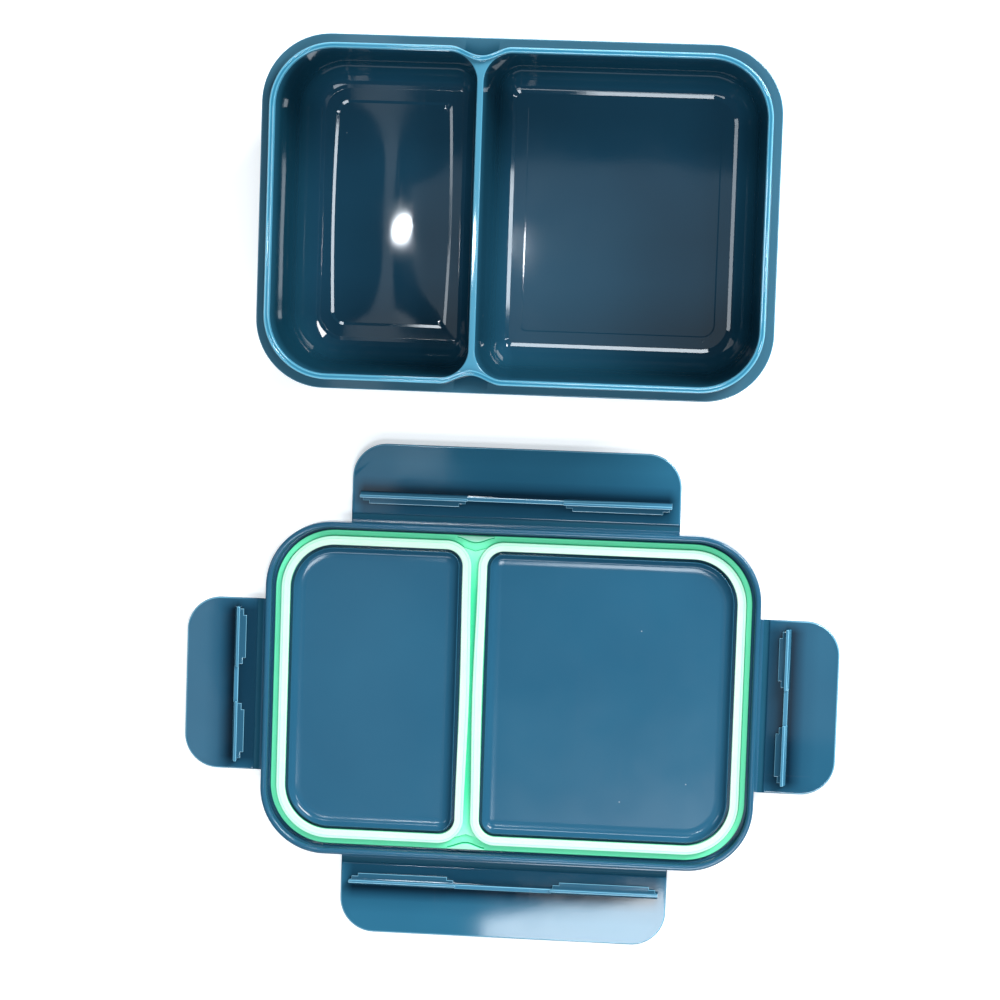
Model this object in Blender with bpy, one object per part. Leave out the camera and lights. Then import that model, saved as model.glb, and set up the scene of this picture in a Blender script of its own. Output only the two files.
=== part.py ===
"""Bento lunch box: a two-compartment tray, and its lid lying upside down beside it.

Metres, +Z up, +X to the right, +Y to the back. The origin is the centre of the
tray's footprint, on the surface that it stands on. The lid lies in front of the
tray on its top face, with its four clips folded flat outwards. Each clip turns
about its film hinge, and a closed lid sits on the tray with the clips hanging.
"""
import math

import bmesh
import bpy

MM = 0.001
GAP = 0.3 * MM

# Tray
TRAY_HEIGHT = 58.0 * MM
RIM_HALF_X = 97.5 * MM
RIM_HALF_Y = 65.2 * MM
RIM_RADIUS = 25.0 * MM
WALL = 2.1 * MM
RIM_ROUNDING = 0.9 * MM
FLANGE_HALF_X = 101.2 * MM
FLANGE_HALF_Y = 68.9 * MM
FLANGE_RADIUS = 27.0 * MM
FLANGE_TOP = 52.5 * MM
FLANGE_BOTTOM = 50.7 * MM
DRAFT = 0.075
BEND_INSET = 6.7 * MM
BEND_HEIGHT = 7.0 * MM
FLOOR_CHAMFER = 1.6 * MM
FLOOR_STEP = 0.5 * MM
FLOOR_TOP = 2.6 * MM
OUTER_BEND_INSET = 8.2 * MM
OUTER_BEND_HEIGHT = 9.0 * MM
FLANGE_ROUNDING = 0.4 * MM
FOOT_WIDTH = 13.0 * MM
FOOT_RECESS = 0.8 * MM
FOOT_CORNER = 8.0 * MM

# Divider
DIVIDER_X = -15.9 * MM
DIVIDER_HALF = 1.15 * MM
DIVIDER_DROP = 1.9 * MM
DIVIDER_LEDGE = 0.2 * MM
DIVIDER_ROUNDING = 0.6 * MM
DIVIDER_BEND = 3.9 * MM
DIVIDER_CORNER = 11.5 * MM
DIVIDER_CORNER_SHARE = 0.75
DIP_DEPTH = 3.5 * MM
DIP_HALF_WIDTH = 12.3 * MM
DIP_STEPS = 10

# Lid, in heights above the surface it lies on, upside down
LID_CENTRE_Y = -194.0 * MM
LID_HALF_X = 101.0 * MM
LID_HALF_Y = 68.5 * MM
LID_RADIUS = 27.0 * MM
LID_PLATE = 1.8 * MM
SKIRT_TIP = 8.5 * MM
SKIRT_WALL = 2.4 * MM
LID_EDGE_ROUNDING = 1.0 * MM
TIP_ROUNDING = 0.4 * MM
RIDGE_TOP = 4.3 * MM
RIDGE_WIDTH = 0.9 * MM
RIDGE_BEND = 2.5 * MM

# Seal
SEAL_HALF_X = 97.4 * MM
SEAL_HALF_Y = 64.9 * MM
SEAL_RADIUS = 24.5 * MM
CHANNEL_TOP = 3.2 * MM
LIP_TOP = 5.0 * MM
LIP_INSET = 2.4 * MM
LIP_WIDTH = 3.7 * MM
LIP_ROUNDING = 0.5 * MM
LIP_SHOULDER = 1.0 * MM
LIP_SPACING_HALF = 1.35 * MM
LIP_CORNER = 10.5 * MM
FILLER_RIM = 0.6 * MM
FILLER_TOP = 4.6 * MM
FILLER_END = 4.0 * MM
FILLER_DEPTH = 2.3 * MM
FILLER_BACK = 0.2 * MM
FILLER_BACK_SHARE = 0.8

# Clips
HINGE_HEIGHT = 3.35 * MM
HINGE_OFFSET = 2.6 * MM
LEDGE_REACH = 1.4 * MM
LEDGE_BOTTOM = 1.9 * MM
LEDGE_TOP = 4.2 * MM
LEDGE_ROOT = 1.0 * MM
LEDGE_END = 1.0 * MM
CLIP_START = 0.9 * MM
CLIP_REACH = 29.8 * MM
CLIP_THICK = 1.6 * MM
CLIP_RADIUS = 14.0 * MM
CLIP_EDGE = 0.4 * MM
LONG_CLIP = 134.0 * MM
SHORT_CLIP = 71.0 * MM
HOOK_FACE = 7.75 * MM
RIB_WIDTH = 3.0 * MM
RIB_HEIGHT = 3.7 * MM
MID_RIB_HEIGHT = 2.4 * MM
RIB_END = 3.5 * MM
RIB_BEVEL_WIDTH = 0.8 * MM
RIB_BEVEL_HEIGHT = 0.6 * MM
RIB_STEP_REACH = 1.3 * MM
RIB_STEP_HEIGHT = 1.0 * MM
RIB_STEP_END = 2.5 * MM
MID_RIB_SETBACK = 0.6 * MM
MID_RIB_OVERLAP = 0.5 * MM
LONG_MIDDLE = 0.29
SHORT_MIDDLE = 0.20
FILM_INNER = 0.9 * MM
FILM_OUTER = 0.6 * MM
FILM_THICK = 0.4 * MM
FILM_END = 1.5 * MM

# The hollow inside the divider: height, half width and half length of each section
SLOT_SECTIONS = (
    (0.0, 6.9 * MM, 49.5 * MM),
    (3.0 * MM, 5.4 * MM, 54.0 * MM),
    (10.0 * MM, 2.8 * MM, 58.5 * MM),
    (40.0 * MM, 0.6 * MM, 60.0 * MM),
)
SLOT_ROUNDNESS = 0.9

CORNER_STEPS = 8
BEND_STEPS = 5
EDGE_STEPS = 3
MERGE_DISTANCE = 0.001 * MM
SHARP_ANGLE = math.radians(35)


def clear_scene():
    for obj in list(bpy.data.objects):
        bpy.data.objects.remove(obj, do_unlink=True)


def make_material(name, colour, roughness):
    material = bpy.data.materials.new(name)
    material.use_nodes = True
    shader = material.node_tree.nodes["Principled BSDF"]
    shader.inputs["Base Color"].default_value = (*colour, 1.0)
    shader.inputs["Roughness"].default_value = roughness
    shader.inputs["Metallic"].default_value = 0.0
    material.diffuse_color = (*colour, 1.0)
    return material


def add_object(name, bm, material, location=(0, 0, 0), turn=0.0, parent=None):
    """Turns a finished bmesh into a named object."""
    bmesh.ops.remove_doubles(bm, verts=bm.verts, dist=MERGE_DISTANCE)
    bmesh.ops.recalc_face_normals(bm, faces=bm.faces)
    mesh = bpy.data.meshes.new(name)
    bm.to_mesh(mesh)
    bm.free()
    mesh.shade_smooth()
    mesh.set_sharp_from_angle(angle=SHARP_ANGLE)
    mesh.materials.append(material)
    obj = bpy.data.objects.new(name, mesh)
    bpy.context.scene.collection.objects.link(obj)
    obj.location = location
    obj.rotation_euler = (0, 0, turn)
    obj.parent = parent
    return obj


def add_empty(name, location):
    empty = bpy.data.objects.new(name, None)
    bpy.context.scene.collection.objects.link(empty)
    empty.location = location
    return empty


def corner(centre_x, centre_y, radius, start):
    """A quarter circle, anticlockwise from the start angle in degrees."""
    points = []
    for step in range(CORNER_STEPS + 1):
        angle = math.radians(start + 90 * step / CORNER_STEPS)
        points.append((centre_x + radius * math.cos(angle), centre_y + radius * math.sin(angle)))
    return points


def rounded_outline(x0, x1, y0, y1, radii):
    """A rectangle with its own corner radii: front right, back right, back left, front left."""
    front_right, back_right, back_left, front_left = radii
    return (corner(x1 - front_right, y0 + front_right, front_right, -90)
            + corner(x1 - back_right, y1 - back_right, back_right, 0)
            + corner(x0 + back_left, y1 - back_left, back_left, 90)
            + corner(x0 + front_left, y0 + front_left, front_left, 180))


def dip_points(side, half_y, depth):
    """The long side's points at the divider, where the rim runs inwards in a soft V."""
    points = []
    for step in range(DIP_STEPS + 1):
        along = 2 * step / DIP_STEPS - 1
        drop = depth * math.cos(along * math.pi / 2) ** 2
        points.append((DIVIDER_X + side * along * DIP_HALF_WIDTH, -side * (half_y - drop)))
    return points


def dipped_outline(half_x, half_y, radius, depth):
    """A rounded rectangle whose long sides have a dip of this depth at the divider."""
    return (dip_points(1, half_y, depth)
            + corner(half_x - radius, radius - half_y, radius, -90)
            + corner(half_x - radius, half_y - radius, radius, 0)
            + dip_points(-1, half_y, depth)
            + corner(radius - half_x, half_y - radius, radius, 90)
            + corner(radius - half_x, radius - half_y, radius, 180))


def add_ring(bm, outline, height):
    return [bm.verts.new((x, y, height)) for x, y in outline]


def bridge(bm, lower, upper):
    count = len(lower)
    for i in range(count):
        j = (i + 1) % count
        bm.faces.new((lower[i], lower[j], upper[j], upper[i]))


def bridge_all(bm, rings):
    for lower, upper in zip(rings, rings[1:]):
        bridge(bm, lower, upper)


def ring_edges(bm, ring):
    edges = []
    for first, second in zip(ring, ring[1:] + ring[:1]):
        edge = bm.edges.get((first, second))
        if edge is None:
            edge = bm.edges.new((first, second))
        edges.append(edge)
    return edges


def fill(bm, rings):
    """Fills the flat region that the first ring bounds, with the others as holes."""
    edges = []
    for ring in rings:
        edges += ring_edges(bm, ring)
    bmesh.ops.triangle_fill(bm, edges=edges, use_beauty=True, use_dissolve=False)


def quarter(steps=BEND_STEPS):
    """Pairs of sine and 1 - cosine from 0 to 90 degrees."""
    for step in range(steps + 1):
        angle = math.pi / 2 * step / steps
        yield math.sin(angle), 1 - math.cos(angle)


# ---------------------------------------------------------------- tray

def tub_outline(side, outer_inset, divider_inset):
    """A compartment's inner outline: side is -1 for the left one and 1 for the right one."""
    far = RIM_HALF_X - WALL - outer_inset
    near = DIVIDER_HALF + divider_inset
    half_y = RIM_HALF_Y - WALL - outer_inset
    outer = RIM_RADIUS - WALL - outer_inset
    inner = DIVIDER_CORNER - DIVIDER_CORNER_SHARE * outer_inset
    if side > 0:
        return rounded_outline(DIVIDER_X + near, far, -half_y, half_y, (outer, outer, inner, inner))
    return rounded_outline(-far, DIVIDER_X - near, -half_y, half_y, (inner, inner, outer, outer))


def add_tub(bm, side):
    """A compartment's inside, from the divider's top down to its floor."""
    ledge_height = TRAY_HEIGHT - DIVIDER_DROP
    rings = []
    for sine, cosine in quarter(EDGE_STEPS):
        inset = DIVIDER_LEDGE + DIVIDER_ROUNDING * (sine - 1)
        outer = max(inset, DIVIDER_LEDGE)
        rings.append(add_ring(bm, tub_outline(side, outer, inset), ledge_height - DIVIDER_ROUNDING * cosine))
    bend_top = FLOOR_TOP + FLOOR_STEP + BEND_HEIGHT
    lean = DRAFT * (TRAY_HEIGHT - bend_top)
    for sine, cosine in quarter():
        outer = lean + BEND_INSET * cosine
        divider = lean + DIVIDER_BEND * cosine
        rings.append(add_ring(bm, tub_outline(side, outer, divider), bend_top - BEND_HEIGHT * sine))
    outer += FLOOR_CHAMFER
    divider += FLOOR_CHAMFER
    rings.append(add_ring(bm, tub_outline(side, outer, divider), FLOOR_TOP))
    bridge_all(bm, rings)
    fill(bm, rings[-1:])
    return rings[0]


def add_foot_recess(bm, side):
    """The shallow recess inside the foot ring under a compartment."""
    inset = DRAFT * TRAY_HEIGHT + OUTER_BEND_INSET + FOOT_WIDTH
    far = RIM_HALF_X - inset
    half_y = RIM_HALF_Y - inset
    near = DIVIDER_X + side * (SLOT_SECTIONS[0][1] + FOOT_WIDTH)
    x0, x1 = sorted((near, side * far))
    outline = rounded_outline(x0, x1, -half_y, half_y, [FOOT_CORNER] * 4)
    mouth = add_ring(bm, outline, 0.0)
    roof = add_ring(bm, outline, FOOT_RECESS)
    bridge(bm, mouth, roof)
    fill(bm, [roof])
    return mouth


def add_slot(bm):
    """The hollow inside the divider, open underneath and closed at both ends."""
    rings = []
    for height, half_width, half_length in SLOT_SECTIONS:
        outline = rounded_outline(DIVIDER_X - half_width, DIVIDER_X + half_width,
                                  -half_length, half_length, [SLOT_ROUNDNESS * half_width] * 4)
        rings.append(add_ring(bm, outline, height))
    bridge_all(bm, rings)
    fill(bm, rings[-1:])
    return rings[0]


def tray_outline(inset, dip=0.0):
    return dipped_outline(RIM_HALF_X - inset, RIM_HALF_Y - inset, RIM_RADIUS - inset, dip)


def flange_outline(inset):
    return dipped_outline(FLANGE_HALF_X - inset, FLANGE_HALF_Y - inset, FLANGE_RADIUS - inset, 0.0)


def build_tray(material):
    bm = bmesh.new()
    outside = []
    for sine, cosine in quarter():
        inset = DRAFT * (TRAY_HEIGHT - OUTER_BEND_HEIGHT * (1 - sine)) + OUTER_BEND_INSET * cosine
        outside.append((tray_outline(inset), OUTER_BEND_HEIGHT * (1 - sine)))
    outside.reverse()
    outside.append((tray_outline(DRAFT * (TRAY_HEIGHT - FLANGE_BOTTOM)), FLANGE_BOTTOM))
    outside.append((flange_outline(0.0), FLANGE_BOTTOM))
    outside.append((flange_outline(0.0), FLANGE_TOP - FLANGE_ROUNDING))
    outside.append((flange_outline(FLANGE_ROUNDING), FLANGE_TOP))
    outside.append((tray_outline(0.0, DIP_DEPTH), FLANGE_TOP))
    for sine, cosine in quarter(EDGE_STEPS):
        outside.append((tray_outline(RIM_ROUNDING * cosine, DIP_DEPTH),
                        TRAY_HEIGHT - RIM_ROUNDING * (1 - sine)))
    for sine, cosine in quarter(EDGE_STEPS):
        outside.append((tray_outline(WALL - RIM_ROUNDING * (1 - sine), DIP_DEPTH),
                        TRAY_HEIGHT - RIM_ROUNDING * cosine))
    outside.append((tray_outline(WALL, DIP_DEPTH), TRAY_HEIGHT - DIVIDER_DROP))
    rings = [add_ring(bm, outline, height) for outline, height in outside]
    bridge_all(bm, rings)
    fill(bm, [rings[-1], add_tub(bm, -1), add_tub(bm, 1)])
    fill(bm, [rings[0], add_foot_recess(bm, -1), add_slot(bm), add_foot_recess(bm, 1)])
    return add_object("base_tray", bm, material)


# ---------------------------------------------------------------- lid and seal

def panel_outline(side, inset, spacing, corner_radius):
    """An outline around a lid panel, inside the seal's outline by this inset."""
    far = SEAL_HALF_X - inset
    half_y = SEAL_HALF_Y - inset
    outer = SEAL_RADIUS - inset
    near = DIVIDER_X + side * spacing
    x0, x1 = sorted((near, side * far))
    if side > 0:
        radii = (outer, outer, corner_radius, corner_radius)
    else:
        radii = (corner_radius, corner_radius, outer, outer)
    return rounded_outline(x0, x1, -half_y, half_y, radii)


def lip_outline(side, inset):
    return panel_outline(side, LIP_INSET + inset, LIP_SPACING_HALF + inset, LIP_CORNER - inset)


def add_ridge(bm, side):
    """The low ridge inside the seal, and the hollow bend from it down to the panel."""
    start = LIP_WIDTH + GAP
    inner = start + RIDGE_WIDTH
    rings = [add_ring(bm, lip_outline(side, start), LID_PLATE),
             add_ring(bm, lip_outline(side, start), RIDGE_TOP),
             add_ring(bm, lip_outline(side, inner), RIDGE_TOP)]
    depth = RIDGE_TOP - LID_PLATE
    for sine, cosine in list(quarter())[1:]:
        rings.append(add_ring(bm, lip_outline(side, inner + RIDGE_BEND * cosine), RIDGE_TOP - depth * sine))
    bridge_all(bm, rings)
    fill(bm, rings[-1:])
    return rings[0]


def skirt_outline(inset):
    return rounded_outline(inset - LID_HALF_X, LID_HALF_X - inset, inset - LID_HALF_Y,
                           LID_HALF_Y - inset, [LID_RADIUS - inset] * 4)


def add_box(bm, x0, x1, y0, y1, z0, z1):
    lower = add_ring(bm, [(x0, y0), (x1, y0), (x1, y1), (x0, y1)], z0)
    upper = add_ring(bm, [(x0, y0), (x1, y0), (x1, y1), (x0, y1)], z1)
    bridge(bm, lower, upper)
    bm.faces.new(lower)
    bm.faces.new(upper)


def add_union(obj, name, bm):
    """Joins another solid to an object with a Boolean, from a hidden guide."""
    guide = add_object(name, bm, obj.data.materials[0], obj.location, obj.rotation_euler.z, obj.parent)
    guide.hide_render = True
    guide.display_type = "WIRE"
    modifier = obj.modifiers.new(name, "BOOLEAN")
    modifier.operation = "UNION"
    modifier.solver = "EXACT"
    modifier.object = guide


def build_lid(material, frame):
    bm = bmesh.new()
    sections = []
    for sine, cosine in quarter(EDGE_STEPS):
        sections.append((skirt_outline(LID_EDGE_ROUNDING * (1 - sine)), LID_EDGE_ROUNDING * cosine))
    sections.append((skirt_outline(0.0), SKIRT_TIP - TIP_ROUNDING))
    sections.append((skirt_outline(TIP_ROUNDING), SKIRT_TIP))
    sections.append((skirt_outline(SKIRT_WALL - TIP_ROUNDING), SKIRT_TIP))
    sections.append((skirt_outline(SKIRT_WALL), SKIRT_TIP - TIP_ROUNDING))
    sections.append((skirt_outline(SKIRT_WALL), LID_PLATE))
    rings = [add_ring(bm, outline, height) for outline, height in sections]
    bridge_all(bm, rings)
    fill(bm, rings[:1])
    fill(bm, [rings[-1], add_ridge(bm, -1), add_ridge(bm, 1)])
    lid = add_object("lid_panel", bm, material, parent=frame)

    ledges = bmesh.new()
    for width, half_x, half_y in ((LONG_CLIP, 0.0, LID_HALF_Y), (SHORT_CLIP, LID_HALF_X, 0.0)):
        half = width / 2 - LEDGE_END
        for side in (-1, 1):
            if half_x:
                x0, x1 = sorted((side * (half_x - LEDGE_ROOT), side * (half_x + LEDGE_REACH)))
                add_box(ledges, x0, x1, -half, half, LEDGE_BOTTOM, LEDGE_TOP)
            else:
                y0, y1 = sorted((side * (half_y - LEDGE_ROOT), side * (half_y + LEDGE_REACH)))
                add_box(ledges, -half, half, y0, y1, LEDGE_BOTTOM, LEDGE_TOP)
    add_union(lid, "ledge_guide", ledges)
    return lid


def add_lip(bm, side):
    """One of the seal's two raised lips, around the hole for its panel."""
    sections = [(0.0, CHANNEL_TOP), (0.0, LIP_TOP - LIP_SHOULDER)]
    for sine, cosine in list(quarter(EDGE_STEPS))[1:]:
        sections.append((LIP_ROUNDING * cosine, LIP_TOP - LIP_SHOULDER * (1 - sine)))
    for sine, cosine in list(quarter(EDGE_STEPS)):
        sections.append((LIP_WIDTH - LIP_ROUNDING * (1 - sine), LIP_TOP - LIP_SHOULDER * cosine))
    sections.append((LIP_WIDTH, LID_PLATE + GAP))
    rings = [add_ring(bm, lip_outline(side, inset), height) for inset, height in sections]
    bridge_all(bm, rings)
    return rings[0], rings[-1]


def add_filler(bm, side):
    """The seal's raised filler outside the rim's dip, a flat-backed lens."""
    half_width = DIP_HALF_WIDTH - FILLER_END
    flat = FILLER_BACK_SHARE * half_width
    outline = []
    for step in range(1, DIP_STEPS):
        along = 2 * step / DIP_STEPS - 1
        drop = FILLER_RIM + FILLER_DEPTH * math.cos(along * math.pi / 2) ** 2
        outline.append((DIVIDER_X - side * along * half_width, side * (SEAL_HALF_Y - drop)))
    outline.append((DIVIDER_X - side * flat, side * (SEAL_HALF_Y - FILLER_BACK)))
    outline.append((DIVIDER_X + side * flat, side * (SEAL_HALF_Y - FILLER_BACK)))
    foot = add_ring(bm, outline, CHANNEL_TOP)
    top = add_ring(bm, outline, FILLER_TOP)
    bridge(bm, foot, top)
    fill(bm, [top])
    return foot


def build_gasket(material, frame):
    bm = bmesh.new()
    outline = dipped_outline(SEAL_HALF_X, SEAL_HALF_Y, SEAL_RADIUS, 0.0)
    lower = add_ring(bm, outline, LID_PLATE + GAP)
    upper = add_ring(bm, outline, CHANNEL_TOP)
    bridge(bm, lower, upper)
    feet = []
    holes = []
    for side in (-1, 1):
        foot, hole = add_lip(bm, side)
        feet.append(foot)
        holes.append(hole)
    fill(bm, [upper] + feet + [add_filler(bm, side) for side in (-1, 1)])
    fill(bm, [lower] + holes)
    return add_object("gasket", bm, material, parent=frame)


# ---------------------------------------------------------------- clips

def add_profile(bm, profile, x0, x1):
    """A solid with this outline in y and z, running from x0 to x1."""
    first = [bm.verts.new((x0, y, z)) for y, z in profile]
    last = [bm.verts.new((x1, y, z)) for y, z in profile]
    bridge(bm, first, last)
    bm.faces.new(first)
    bm.faces.new(last)


def flap_outline(half_width, inset):
    """The flap's outline: square at the hinge, round at its free corners."""
    radius = CLIP_RADIUS - inset
    x = half_width - inset - radius
    y = CLIP_REACH - inset - radius
    near = CLIP_START + inset
    return ([(inset - half_width, near), (half_width - inset, near)]
            + corner(x, y, radius, 0) + corner(-x, y, radius, 90))


def build_clip(name, width, mid_share, material, axis):
    """A clip lying flat: its hinge axis is the object's own X axis, and it runs out along Y."""
    half_width = width / 2
    half_thick = CLIP_THICK / 2
    bm = bmesh.new()
    sections = ((CLIP_EDGE, -half_thick), (0.0, CLIP_EDGE - half_thick),
                (0.0, half_thick - CLIP_EDGE), (CLIP_EDGE, half_thick))
    rings = [add_ring(bm, flap_outline(half_width, inset), height) for inset, height in sections]
    bridge_all(bm, rings)
    fill(bm, rings[:1])
    fill(bm, rings[-1:])
    clip = add_object(name, bm, material, parent=axis)

    half_rib = half_width - RIB_END
    half_mid = mid_share * width / 2
    top = half_thick + RIB_HEIGHT
    back = HOOK_FACE + RIB_WIDTH
    profile = ((HOOK_FACE, 0.0), (back, 0.0), (back, top - RIB_BEVEL_HEIGHT), (back - RIB_BEVEL_WIDTH, top),
               (HOOK_FACE, top))
    ends = bmesh.new()
    steps = bmesh.new()
    for side in (-1, 1):
        x0, x1 = sorted((side * half_mid, side * half_rib))
        add_profile(ends, profile, x0, x1)
        near = HOOK_FACE - RIB_STEP_REACH
        far = HOOK_FACE + RIB_STEP_REACH
        add_box(steps, x0 + RIB_STEP_END, x1 - RIB_STEP_END, near, far, 0.0, half_thick + RIB_STEP_HEIGHT)
    add_union(clip, name + "_ribs", ends)
    add_union(clip, name + "_steps", steps)

    middle = bmesh.new()
    half_low = half_mid + MID_RIB_OVERLAP
    add_box(middle, -half_low, half_low, HOOK_FACE + MID_RIB_SETBACK, back - RIB_BEVEL_WIDTH,
            0.0, half_thick + MID_RIB_HEIGHT)
    add_union(clip, name + "_middle", middle)
    return clip


def build_film(name, width, material, frame, turn, offset):
    """The thin film that the clip turns on, between the lid's ledge and the clip."""
    half = width / 2 - FILM_END
    bm = bmesh.new()
    add_box(bm, -half, half, -FILM_INNER, FILM_OUTER, -FILM_THICK / 2, FILM_THICK / 2)
    x, y = offset
    return add_object(name, bm, material, (x, y, HINGE_HEIGHT), turn, frame)


def build_clips(plastic, film, frame):
    reach_x = LID_HALF_X + HINGE_OFFSET
    reach_y = LID_HALF_Y + HINGE_OFFSET
    sides = (("back", LONG_CLIP, LONG_MIDDLE, 0, (0.0, reach_y)),
             ("left", SHORT_CLIP, SHORT_MIDDLE, 90, (-reach_x, 0.0)),
             ("front", LONG_CLIP, LONG_MIDDLE, 180, (0.0, -reach_y)),
             ("right", SHORT_CLIP, SHORT_MIDDLE, 270, (reach_x, 0.0)))
    for side, width, mid_share, degrees, offset in sides:
        turn = math.radians(degrees)
        axis = add_empty("axis_" + side, (*offset, HINGE_HEIGHT))
        axis.rotation_euler = (0, 0, turn)
        axis.parent = frame
        build_clip("clip_" + side, width, mid_share, plastic, axis)
        build_film("film_hinge_" + side, width, film, frame, turn, offset)


def main():
    clear_scene()
    plastic = make_material("blue_polypropylene", (0.035, 0.13, 0.22), 0.25)
    film = make_material("thin_polypropylene", (0.06, 0.19, 0.28), 0.35)
    silicone = make_material("mint_silicone", (0.42, 0.85, 0.62), 0.5)
    build_tray(plastic)
    lid_frame = add_empty("lid_frame", (0, LID_CENTRE_Y, 0))
    build_lid(plastic, lid_frame)
    build_gasket(silicone, lid_frame)
    build_clips(plastic, film, lid_frame)


main()
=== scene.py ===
"""Looks for the bento lunch box: finer shells, seal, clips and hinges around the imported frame."""

import math

import bmesh
import bpy
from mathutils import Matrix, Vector
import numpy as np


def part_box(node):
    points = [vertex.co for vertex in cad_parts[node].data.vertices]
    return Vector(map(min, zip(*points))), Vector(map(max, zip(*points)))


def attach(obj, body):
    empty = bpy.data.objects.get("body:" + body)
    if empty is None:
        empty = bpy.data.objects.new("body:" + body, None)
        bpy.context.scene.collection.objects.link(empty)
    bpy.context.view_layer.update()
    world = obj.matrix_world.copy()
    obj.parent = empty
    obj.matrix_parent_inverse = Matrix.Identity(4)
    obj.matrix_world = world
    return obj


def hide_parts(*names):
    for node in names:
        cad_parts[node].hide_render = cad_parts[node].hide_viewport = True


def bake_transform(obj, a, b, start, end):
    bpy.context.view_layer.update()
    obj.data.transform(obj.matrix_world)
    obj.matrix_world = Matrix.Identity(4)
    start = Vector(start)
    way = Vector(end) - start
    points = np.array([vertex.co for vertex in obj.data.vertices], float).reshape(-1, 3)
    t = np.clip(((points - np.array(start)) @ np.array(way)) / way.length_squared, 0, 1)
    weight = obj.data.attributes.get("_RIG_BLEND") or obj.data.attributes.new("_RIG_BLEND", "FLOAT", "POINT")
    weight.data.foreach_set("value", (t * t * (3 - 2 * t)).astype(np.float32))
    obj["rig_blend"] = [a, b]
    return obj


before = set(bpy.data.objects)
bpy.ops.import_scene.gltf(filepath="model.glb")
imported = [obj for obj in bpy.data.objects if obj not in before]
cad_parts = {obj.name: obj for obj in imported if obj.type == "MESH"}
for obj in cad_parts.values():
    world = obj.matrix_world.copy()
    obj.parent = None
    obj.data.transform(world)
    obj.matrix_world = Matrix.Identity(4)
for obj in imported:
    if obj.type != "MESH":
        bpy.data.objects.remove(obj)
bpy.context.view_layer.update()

MM = 0.001
CORNER_STEPS = 20
DIP_STEPS = 28
DOME_STEPS = 24
SIDE_STEPS = 20
EDGE_STEPS = 6
BEND_STEPS = 18
FILLET_STEPS = 24

# Creases sharper than this many degrees stay crisp
PLAIN_CREASE = 32.0
TRAY_CREASE = 17.0
CLIP_CREASE = 12.0

# Tray
tray_low, tray_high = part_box("base_tray")
TRAY_HEIGHT = tray_high.z
FLANGE_HALF_X = tray_high.x
FLANGE_HALF_Y = tray_high.y
FLANGE_RADIUS = 27.0 * MM
RIM_HALF_X = FLANGE_HALF_X - 3.7 * MM
RIM_HALF_Y = FLANGE_HALF_Y - 3.7 * MM
RIM_RADIUS = 25.0 * MM
WALL = 2.1 * MM
RIM_ROUNDING = 0.45 * MM
RIM_DISH = 0.10 * MM
FLANGE_TOP = TRAY_HEIGHT - 5.5 * MM
FLANGE_BOTTOM = FLANGE_TOP - 1.8 * MM
DRAFT = 0.075
BEND_INSET = 8.2 * MM
BEND_HEIGHT = 12.0 * MM
BEND_END_SLOPE = 0.55
OUTER_BEND_INSET = 8.2 * MM
OUTER_BEND_HEIGHT = 9.0 * MM
FLOOR_TOP = 2.6 * MM
FLOOR_STEP = 0.5 * MM
FLOOR_CHAMFER = 1.45 * MM
PAD_INSET = 4.8 * MM
PAD_BOW = 1.1 * MM
# Floors: the crown; then in mm the chamfer's drop, the flat band's rise, and the pad's edge as steps
# across and up; then how far the pad's left and right sides bow outwards
LEFT_FLOOR = (0.9 * MM, 0.2, 0.12, ((0.06, -0.02), (1.05, -0.36)), PAD_BOW)
RIGHT_FLOOR = (0.04 * MM, 0.5, 0.0, ((0.12, 0.006), (0.25, 0.012), (0.3, 0.002)), 0.0)
FOOT_WIDTH = 13.0 * MM
FOOT_CORNER = 8.0 * MM

# Divider
DIVIDER_X = -15.9 * MM
DIVIDER_HALF = 1.15 * MM
DIVIDER_DROP = 1.9 * MM
DIVIDER_LEDGE = 0.12 * MM
DIVIDER_ROUNDING = 0.5 * MM
DIVIDER_BEND = 4.7 * MM
DIVIDER_CORNER = 11.5 * MM
SMALLEST_CORNER = 1.6 * MM
DIP_DEPTH = 3.5 * MM
DIP_HALF_WIDTH = 12.3 * MM
SLOT_SECTIONS = ((0.0, 6.9, 49.5), (3.0, 5.4, 54.0), (10.0, 2.8, 58.5), (40.0, 0.6, 60.0))

# Lid, in heights above the floor it lies on, upside down
lid_low, lid_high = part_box("lid_panel")
LEDGE_REACH = 1.4 * MM
LID_CENTRE = Vector((0.0, (lid_low.y + lid_high.y) / 2, 0.0))
LID_HALF_X = lid_high.x - LEDGE_REACH
LID_HALF_Y = (lid_high.y - lid_low.y) / 2 - LEDGE_REACH
LID_RADIUS = 27.0 * MM
LID_PLATE = 1.8 * MM
SKIRT_TIP = lid_high.z
SKIRT_WALL = 2.4 * MM
RIDGE_TOP = 4.3 * MM
RIDGE_WIDTH = 0.5 * MM
LIP_GROOVE = 1.2 * MM
PANEL_FILLET = 5.0 * MM
PANEL_TAIL = 0.9 * MM

# Seal
seal_low, seal_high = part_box("gasket")
SEAL_HALF_X = seal_high.x
SEAL_HALF_Y = (seal_high.y - seal_low.y) / 2
SEAL_RADIUS = 24.5 * MM
SEAL_BOTTOM = seal_low.z
CHANNEL_TOP = 3.2 * MM
LIP_TOP = seal_high.z
LIP_INSET = 2.4 * MM
LIP_WIDTH = 3.7 * MM
LIP_SPACING_HALF = 1.35 * MM
LIP_CORNER = 10.5 * MM
LIP_BOW = 0.75 * MM
DIVIDER_STRIP_TOP = 4.0 * MM
STRIP_DIP = 2.9 * MM

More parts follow.
